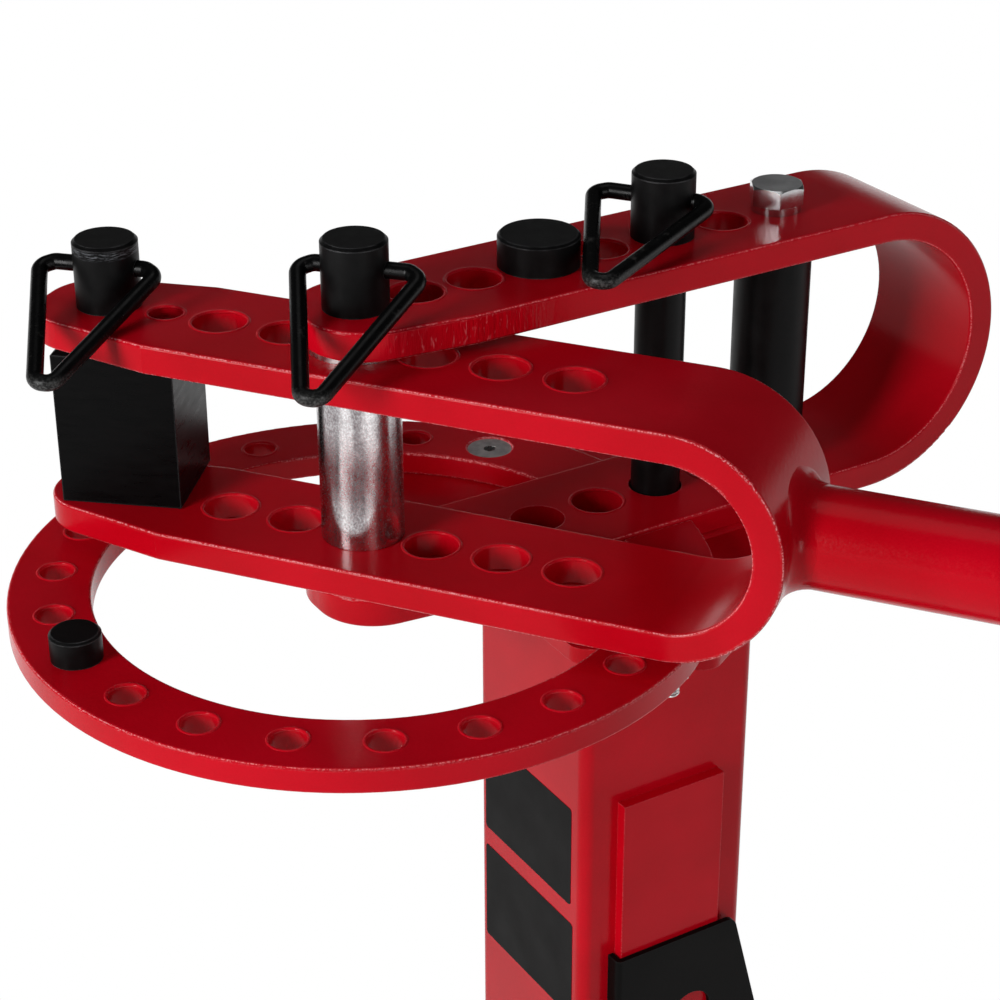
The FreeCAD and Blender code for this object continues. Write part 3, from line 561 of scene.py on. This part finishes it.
def rim_tree():
    """Rounded lip of paint round every hole whose centre is a point of the path."""
    numbers = {"Hole Radius": 13 * MM, "Lip Radius": 1 * MM}
    tree, group_in, group_out = new_geometry_tree("hole_rim", numbers)
    loop = add(tree, "GeometryNodeCurvePrimitiveCircle")
    loop.inputs["Resolution"].default_value = 56
    profile = add(tree, "GeometryNodeCurvePrimitiveCircle")
    profile.inputs["Resolution"].default_value = 10
    lip = add(tree, "GeometryNodeCurveToMesh")
    placed = add(tree, "GeometryNodeInstanceOnPoints")
    link(tree, group_in.outputs["Hole Radius"], loop.inputs["Radius"])
    link(tree, group_in.outputs["Lip Radius"], profile.inputs["Radius"])
    link(tree, loop.outputs["Curve"], lip.inputs["Curve"])
    link(tree, profile.outputs["Curve"], lip.inputs["Profile Curve"])
    link(tree, group_in.outputs["Geometry"], placed.inputs["Points"])
    link(tree, lip.outputs["Mesh"], placed.inputs["Instance"])
    end_tree(tree, placed.outputs["Instances"], group_in, group_out)
    return tree


def grown(name, body, tree, points, closed, values, material, place=None):
    """Mesh that a geometry node tree grows on a path, as a plain mesh riding on a body."""
    path = bpy.data.meshes.new(f"{name}_path")
    edges = [(i, i + 1) for i in range(len(points) - 1)]
    if closed:
        edges.append((len(points) - 1, 0))
    path.from_pydata([tuple(p) for p in points], edges, [])
    source = bpy.data.objects.new(f"{name}_source", path)
    bpy.context.scene.collection.objects.link(source)
    modifier = source.modifiers.new("grow", "NODES")
    modifier.node_group = tree
    for socket in tree.interface.items_tree:
        if socket.in_out == "INPUT" and socket.name in values:
            modifier[socket.identifier] = float(values[socket.name])
        if socket.in_out == "INPUT" and socket.name == "Material":
            modifier[socket.identifier] = material
    bpy.context.view_layer.update()
    evaluated = source.evaluated_get(bpy.context.evaluated_depsgraph_get())
    mesh = bpy.data.meshes.new_from_object(evaluated)
    bpy.data.objects.remove(source)
    if place is not None:
        mesh.transform(place)
    mesh.name = name
    return finished(name, mesh, body, material)


def finished(name, mesh, body, material):
    """Object at the origin with outward faces and one finish, riding on a body."""
    shape = bmesh.new()
    shape.from_mesh(mesh)
    bmesh.ops.remove_doubles(shape, verts=shape.verts, dist=1e-7)
    bmesh.ops.recalc_face_normals(shape, faces=shape.faces)
    shape.to_mesh(mesh)
    shape.free()
    mesh.materials.clear()
    mesh.materials.append(material)
    piece = bpy.data.objects.new(name, mesh)
    bpy.context.scene.collection.objects.link(piece)
    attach(piece, body)
    return piece


# Welds

def square_loop(half, z):
    return [Vector((x, y, z)) for x, y in ((-half, -half), (half, -half), (half, half), (-half, half))]


def mesh_from(shape, name):
    """Mesh with the faces of a bmesh, which is freed."""
    mesh = bpy.data.meshes.new(name)
    shape.to_mesh(mesh)
    shape.free()
    return mesh


def joined(name, pieces):
    """One object from several that share a body and a finish."""
    first = pieces[0]
    shape = bmesh.new()
    for piece in pieces:
        shape.from_mesh(piece.data)
    shape.to_mesh(first.data)
    shape.free()
    for piece in pieces[1:]:
        bpy.data.objects.remove(piece)
    first.name = name
    return first


def stand_welds(material):
    """Beads that join column, plates, gussets and yoke."""
    tree = weld_tree()
    half = column_high.x
    back = top_plate_high.x - 3 * MM
    front = pivot.x + 60 * MM
    plate_top = top_plate_high.z
    foot = base_high.z
    thick = {"Bead Radius": 3.0 * MM}
    sunk = {"Bead Radius": 2.4 * MM, "Ripple Depth": 0.05, "Ripple Pitch": 3.4 * MM}
    runs = [
        (square_loop(half, column_high.z), True, thick),
        (square_loop(half, foot), True, thick),
    ]
    for side in (-1, 1):
        y = side * bar_half_width
        runs.append(([Vector((front, y, plate_top)), Vector((back, y, plate_top))], False, sunk))
    for quarter in range(4):
        turn = Matrix.Rotation(quarter * math.pi / 2, 3, "Z")
        for side in (-1, 1):
            y = side * gusset_thickness / 2
            corner = [
                Vector((half + gusset_reach, y, foot)), Vector((half, y, foot)),
                Vector((half, y, foot + gusset_height)),
            ]
            runs.append(([turn @ p for p in corner], False, {"Bead Radius": 2.4 * MM}))
    pieces = []
    for index, (points, closed, values) in enumerate(runs):
        settings = {"Ripple Pitch": 2.6 * MM, "Ripple Depth": 0.12, "Step": 0.65 * MM, **values}
        name = f"stand_weld_{index}"
        pieces.append(grown(name, "stand", tree, points, closed, settings, material))
    return joined("stand_welds", pieces)


def socket_weld(material):
    """Broad concave fillet where the handle socket meets the yoke's bend."""
    reach_on_tube = 13 * MM
    reach_on_bend = 8 * MM
    sunk = 1.5 * MM
    dip = 0.35 * MM
    wave_on_tube = 1.5 * MM
    wave_on_bend = 1.0 * MM
    around = 160
    arc_steps = 9

    def on_bend(angle, radius, sink=0.0):
        side = radius * math.cos(angle)
        rise = radius * math.sin(angle)
        distance = swing_bend_distance + math.sqrt(swing_bend_radius ** 2 - rise ** 2) - sink
        return pivot + along * distance + across * side + UP * rise

    shape = bmesh.new()
    rings = []
    for i in range(around):
        angle = 2 * math.pi * i / around
        corner = on_bend(angle, socket_radius)
        drop = noise.noise(Vector((math.cos(angle) * 3, math.sin(angle) * 3, 0.4)))
        outward = (across * math.cos(angle) + UP * math.sin(angle)).normalized()
        far = corner + along * (reach_on_tube + wave_on_tube * drop) - outward * dip
        near = on_bend(angle, socket_radius + reach_on_bend + wave_on_bend * drop, dip)
        section = []
        for k in range(arc_steps + 1):
            t = k / arc_steps
            section.append(far * (1 - t) ** 2 + corner * 2 * t * (1 - t) + near * t ** 2)
        section.append(on_bend(angle, socket_radius + reach_on_bend / 2, sunk))
        section.append(on_bend(angle, socket_radius - sunk, sunk))
        section.append(far - outward * sunk)
        rings.append([shape.verts.new(p) for p in section])
    count = len(rings[0])
    for i in range(around):
        this, following = rings[i], rings[(i + 1) % around]
        for k in range(count):
            n = (k + 1) % count
            face = shape.faces.new((this[k], this[n], following[n], following[k]))
            face.smooth = True
    finished("socket_weld", mesh_from(shape, "socket_weld"), "swing_frame", material)


def clamp_nut_weld(material):
    """Ring of weld round the nut on the socket."""
    centre = Vector(joints["clamp_bolt_turn"]["pos_m"])
    radius = 9.8 * MM
    points = []
    for i in range(48):
        angle = 2 * math.pi * i / 48
        offset = along * radius * math.cos(angle) + across * radius * math.sin(angle)
        rise = math.sqrt(socket_radius ** 2 - offset.dot(across) ** 2)
        points.append(centre + offset + UP * rise)
    settings = {"Bead Radius": 1.9 * MM, "Ripple Pitch": 2.0 * MM, "Ripple Depth": 0.15, "Step": 0.5 * MM}
    grown("clamp_nut_weld", "swing_frame", weld_tree(), points, True, settings, material)


# Lips of paint round the holes

def hole_rims(material):
    """Lips on both faces of each bar and on top of the ring, where no pin stands in the hole."""
    tree = rim_tree()
    depth = 0.55 * MM
    lip_offset = 0.2 * MM
    lip_radius = 0.95 * MM
    fixed_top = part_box("fixed_yoke")[1].z
    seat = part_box("fixed_yoke")[0].z + bar_thickness
    ring_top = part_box("angle_ring")[1].z

    def on_levels(spots, tops, undersides):
        points = [Vector((spot.x, spot.y, z - depth)) for spot in spots for z in tops]
        return points + [Vector((spot.x, spot.y, z + depth)) for spot in spots for z in undersides]

    fixed_spots = [pivot + Vector((x * MM, 0, 0)) for x in fixed_open_holes]
    fixed_points = on_levels(fixed_spots, (fixed_top, seat), (fixed_top - bar_thickness,))
    swing_spots = [pivot + along * (u * MM) for u in swing_open_holes]
    swing_levels = (swing_high.z, swing_low.z + bar_thickness), (swing_low.z, swing_high.z - bar_thickness)
    swing_points = on_levels(swing_spots, *swing_levels)
    index_points = on_levels([pivot - along * index_hole_distance * MM], swing_levels[0][:1], swing_levels[1][1:])
    ring_points = []
    for i in range(1, ring_hole_count):
        turn = math.radians(ring_hole_first_angle + ring_hole_step * i)
        if i != stop_pin_hole:
            ring_points.append(pivot + Vector((math.cos(turn), math.sin(turn), 0)) * ring_hole_circle)
    ring_points = on_levels(ring_points, (ring_top,), ())
    groups = (
        ("fixed_yoke_rims", "stand", fixed_points, pin_hole_radius),
        ("swing_yoke_rims", "swing_frame", swing_points, pin_hole_radius),
        ("index_hole_rims", "swing_frame", index_points, small_hole_radius),
        ("ring_rims", "stand", ring_points, small_hole_radius),
    )
    for name, body, points, radius in groups:
        settings = {"Hole Radius": radius + lip_offset, "Lip Radius": lip_radius}
        grown(name, body, tree, points, False, settings, material)


# Threads

def screw_end(name, body, spot, low, high, radius, material):
    """Core of a screw's end with a turned point."""
    around = 40
    profile = ((0.62, 0.0), (1.0, 1.4 * MM), (1.0, high - low))
    shape = bmesh.new()
    loops = []
    for share, rise in profile:
        turns = [2 * math.pi * i / around for i in range(around)]
        reach = share * radius
        spots = [(spot.x + reach * math.cos(t), spot.y + reach * math.sin(t), low + rise) for t in turns]
        loops.append([shape.verts.new(p) for p in spots])
    for lower, upper in zip(loops, loops[1:]):
        for i in range(around):
            n = (i + 1) % around
            shape.faces.new((lower[i], lower[n], upper[n], upper[i])).smooth = True
    shape.faces.new(list(reversed(loops[0])))
    shape.faces.new(loops[-1])
    finished(name, mesh_from(shape, name), body, material)


def threads(material):
    """Thread ridges on every screw end that shows."""
    tree = thread_tree()
    screws_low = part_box("ring_screws")[0].z
    nuts_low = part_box("ring_nuts")[0].z
    post = pivot + Vector((post_distance, 0, 0))
    clamp = Vector(joints["clamp_bolt_turn"]["pos_m"])
    clamp_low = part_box("clamp_nut")[1].z
    clamp_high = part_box("clamp_bolt")[1].z - clamp_head_height
    post_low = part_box("post_bolt")[0].z
    post_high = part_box("post_nut")[0].z
    post_pitch = 2.0
    small_pitch = 1.5
    free_share = 0.4
    runs = [
        ("post_thread", "stand", post, post_low, post_high, post_bolt_radius, post_pitch),
        ("clamp_thread", "clamp_bolt", clamp, clamp_low, clamp_high, clamp_bolt_radius, small_pitch),
    ]
    for index, (angle, radius) in enumerate(ring_screw_places):
        turn = math.radians(angle)
        spot = pivot + Vector((radius * math.cos(turn), radius * math.sin(turn), 0))
        end = screws_low - front_screw_extra * index
        runs.append((f"ring_thread_{index}", "stand", spot, end, nuts_low, ring_screw_radius, small_pitch))
        if index == 1:
            core_radius = ring_screw_radius - 0.7 * MM
            screw_end("ring_screw_end", "stand", spot, end, screws_low + 1 * MM, core_radius, material)
    for name, body, spot, low, high, radius, pitch in runs:
        place = Matrix.Translation(Vector((spot.x, spot.y, low + free_share * pitch * MM)))
        length = high - low - 2 * free_share * pitch * MM
        settings = {"Thread Radius": radius, "Pitch": pitch * MM, "Length": length}
        line = [Vector((0, 0, 0)), Vector((0, 0, length))]
        grown(name, body, tree, line, False, settings, material, place)


# Plain films on the column's left side

def label_sheet(name, y_low, y_high, z_low, z_high, material):
    """Thin film with round corners on the column's side."""
    corner = 2.0 * MM
    thickness = 0.2 * MM
    steps = 5
    outline = []
    for y, z, start in ((y_high, z_high, 0), (y_low, z_high, 90), (y_low, z_low, 180), (y_high, z_low, 270)):
        centre_y = y - corner if y == y_high else y + corner
        centre_z = z - corner if z == z_high else z + corner
        for k in range(steps + 1):
            angle = math.radians(start + 90 * k / steps)
            outline.append((centre_y + corner * math.cos(angle), centre_z + corner * math.sin(angle)))
    face_x = column_low.x
    shape = bmesh.new()
    outer = [shape.verts.new((face_x - thickness, y, z)) for y, z in outline]
    inner = [shape.verts.new((face_x + thickness, y, z)) for y, z in outline]
    shape.faces.new(outer)
    shape.faces.new(list(reversed(inner)))
    count = len(outline)
    for i in range(count):
        n = (i + 1) % count
        shape.faces.new((outer[n], outer[i], inner[i], inner[n]))
    finished(name, mesh_from(shape, name), "stand", material)


def labels():
    material = blank_label()
    label_sheet("label_upper", y_low=-39 * MM, y_high=43 * MM, z_low=690 * MM, z_high=748 * MM, material=material)
    label_sheet("label_lower", y_low=-41 * MM, y_high=43 * MM, z_low=620 * MM, z_high=679 * MM, material=material)


# Stage, light and camera

def sees_backdrop(tree):
    """1 for camera, glossy and transmission rays."""
    rays = add(tree, "ShaderNodeLightPath")
    seen = maths(tree, "MAXIMUM", rays.outputs["Is Camera Ray"], rays.outputs["Is Glossy Ray"])
    return maths(tree, "MAXIMUM", seen, rays.outputs["Is Transmission Ray"])


def white_floor():
    """White floor that keeps the object's soft shadow round the foot."""
    material, tree = new_material("floor")
    distance = add(tree, "ShaderNodeVectorMath", operation="LENGTH")
    link(tree, object_point(tree), distance.inputs[0])
    shadow_start = 0.25
    shadow_end = 0.72
    share = mapped(tree, distance.outputs["Value"], shadow_start, shadow_end, 0.75, 1.0)
    matte = add(tree, "ShaderNodeBsdfDiffuse")
    matte.inputs["Color"].default_value = (0.82, 0.82, 0.82, 1)
    glow = add(tree, "ShaderNodeEmission")
    glow.inputs["Strength"].default_value = 1.0
    mixed = add(tree, "ShaderNodeMixShader")
    output = add(tree, "ShaderNodeOutputMaterial")
    link(tree, maths(tree, "MULTIPLY", sees_backdrop(tree), share), mixed.inputs[0])
    link(tree, matte.outputs["BSDF"], mixed.inputs[1])
    link(tree, glow.outputs["Emission"], mixed.inputs[2])
    link(tree, mixed.outputs["Shader"], output.inputs["Surface"])
    half = 9.0
    mesh = bpy.data.meshes.new("floor")
    mesh.from_pydata([(-half, -half, 0), (half, -half, 0), (half, half, 0), (-half, half, 0)], [], [(0, 1, 2, 3)])
    mesh.materials.append(material)
    floor = bpy.data.objects.new("floor", mesh)
    bpy.context.scene.collection.objects.link(floor)


def sky_levels(tree, height, stops):
    """Grey level over the sine of the elevation."""
    ramp = add(tree, "ShaderNodeValToRGB")
    elements = ramp.color_ramp.elements
    while len(elements) < len(stops):
        elements.new(0.5)
    for element, (position, level) in zip(elements, stops):
        element.position = position
        element.color = (level, level, level, 1)
    link(tree, height, ramp.inputs["Fac"])
    return ramp.outputs["Color"]


def studio_world():
    """White wall round the object under a dark ceiling, and a weak fill for matte light."""
    world = bpy.data.worlds.new("studio")
    world.use_nodes = True
    tree = world.node_tree
    tree.nodes.clear()
    coordinates = add(tree, "ShaderNodeTexCoord")
    split = add(tree, "ShaderNodeSeparateXYZ")
    rays = add(tree, "ShaderNodeLightPath")
    fill = add(tree, "ShaderNodeBackground")
    backdrop = add(tree, "ShaderNodeBackground")
    mixed = add(tree, "ShaderNodeMixShader")
    output = add(tree, "ShaderNodeOutputWorld")
    link(tree, coordinates.outputs["Generated"], split.inputs["Vector"])
    height = split.outputs["Z"]
    wall_levels = ((0.0, 1.0), (0.05, 1.0), (0.16, 0.06), (1.0, 0.03))
    fill_levels = ((0.0, 0.30), (0.25, 0.16), (0.5, 0.06), (1.0, 0.06))
    wall = sky_levels(tree, height, wall_levels)
    link(tree, sky_levels(tree, height, fill_levels), fill.inputs["Color"])
    link(tree, blended(tree, rays.outputs["Is Camera Ray"], wall, (1.0, 1.0, 1.0)), backdrop.inputs["Color"])
    link(tree, sees_backdrop(tree), mixed.inputs[0])
    link(tree, fill.outputs["Background"], mixed.inputs[1])
    link(tree, backdrop.outputs["Background"], mixed.inputs[2])
    link(tree, mixed.outputs["Shader"], output.inputs["Surface"])
    bpy.context.scene.world = world


def soft_box(name, place, target, width, height, power):
    data = bpy.data.lights.new(name, "AREA")
    data.shape = "RECTANGLE"
    data.size = width
    data.size_y = height
    data.energy = power
    lamp = bpy.data.objects.new(name, data)
    bpy.context.scene.collection.objects.link(lamp)
    lamp.location = place
    lamp.rotation_euler = (Vector(target) - Vector(place)).to_track_quat("-Z", "Y").to_euler()
    return lamp


def lights():
    head = (-0.1, -0.05, 0.95)
    soft_box("left_box", (-2.0, -0.4, 1.45), head, 0.6, 1.0, 33)
    soft_box("front_box", (-0.2, -2.7, 1.3), head, 0.6, 1.2, 13)
    soft_box("top_box", (0.0, 0.2, 2.9), head, 1.0, 1.0, 3)
    soft_box("right_box", (2.0, -0.8, 1.1), head, 0.8, 1.2, 5)
    back = soft_box("back_box", (1.3, 2.6, 1.5), head, 1.4, 1.2, 22)
    back.visible_glossy = False


def photo_camera():
    """Camera of the photograph, fitted to the square frame."""
    place = Vector((-0.59169, -0.86503, 1.43305))
    yaw = math.radians(31.24)
    pitch = math.radians(-27.45)
    roll = math.radians(-0.21)
    lens = 87.13
    forward = Vector((math.sin(yaw) * math.cos(pitch), math.cos(yaw) * math.cos(pitch), math.sin(pitch)))
    level_right = forward.cross(UP).normalized()
    level_up = level_right.cross(forward)
    right = level_right * math.cos(roll) + level_up * math.sin(roll)
    upward = level_up * math.cos(roll) - level_right * math.sin(roll)
    data = bpy.data.cameras.new("photo_camera")
    data.lens = lens
    data.sensor_width = 36
    data.sensor_fit = "HORIZONTAL"
    data.clip_start = 0.01
    data.clip_end = 100
    camera = bpy.data.objects.new("photo_camera", data)
    bpy.context.scene.collection.objects.link(camera)
    turn = Matrix((right, upward, -forward)).transposed().to_4x4()
    camera.matrix_world = Matrix.Translation(place) @ turn
    bpy.context.scene.camera = camera


finishes = dress_nodes()
weld_paint = red_paint("weld_paint", peel=1.2, edge_glint_strength=0)
stand_welds(weld_paint)
socket_weld(weld_paint)
clamp_nut_weld(weld_paint)
hole_rims(red_paint("rim_paint", edge_glint_strength=0.12))
threads(finishes["zinc_steel"])
labels()
white_floor()
studio_world()
lights()
photo_camera()
bpy.context.scene.view_settings.view_transform = "Standard"
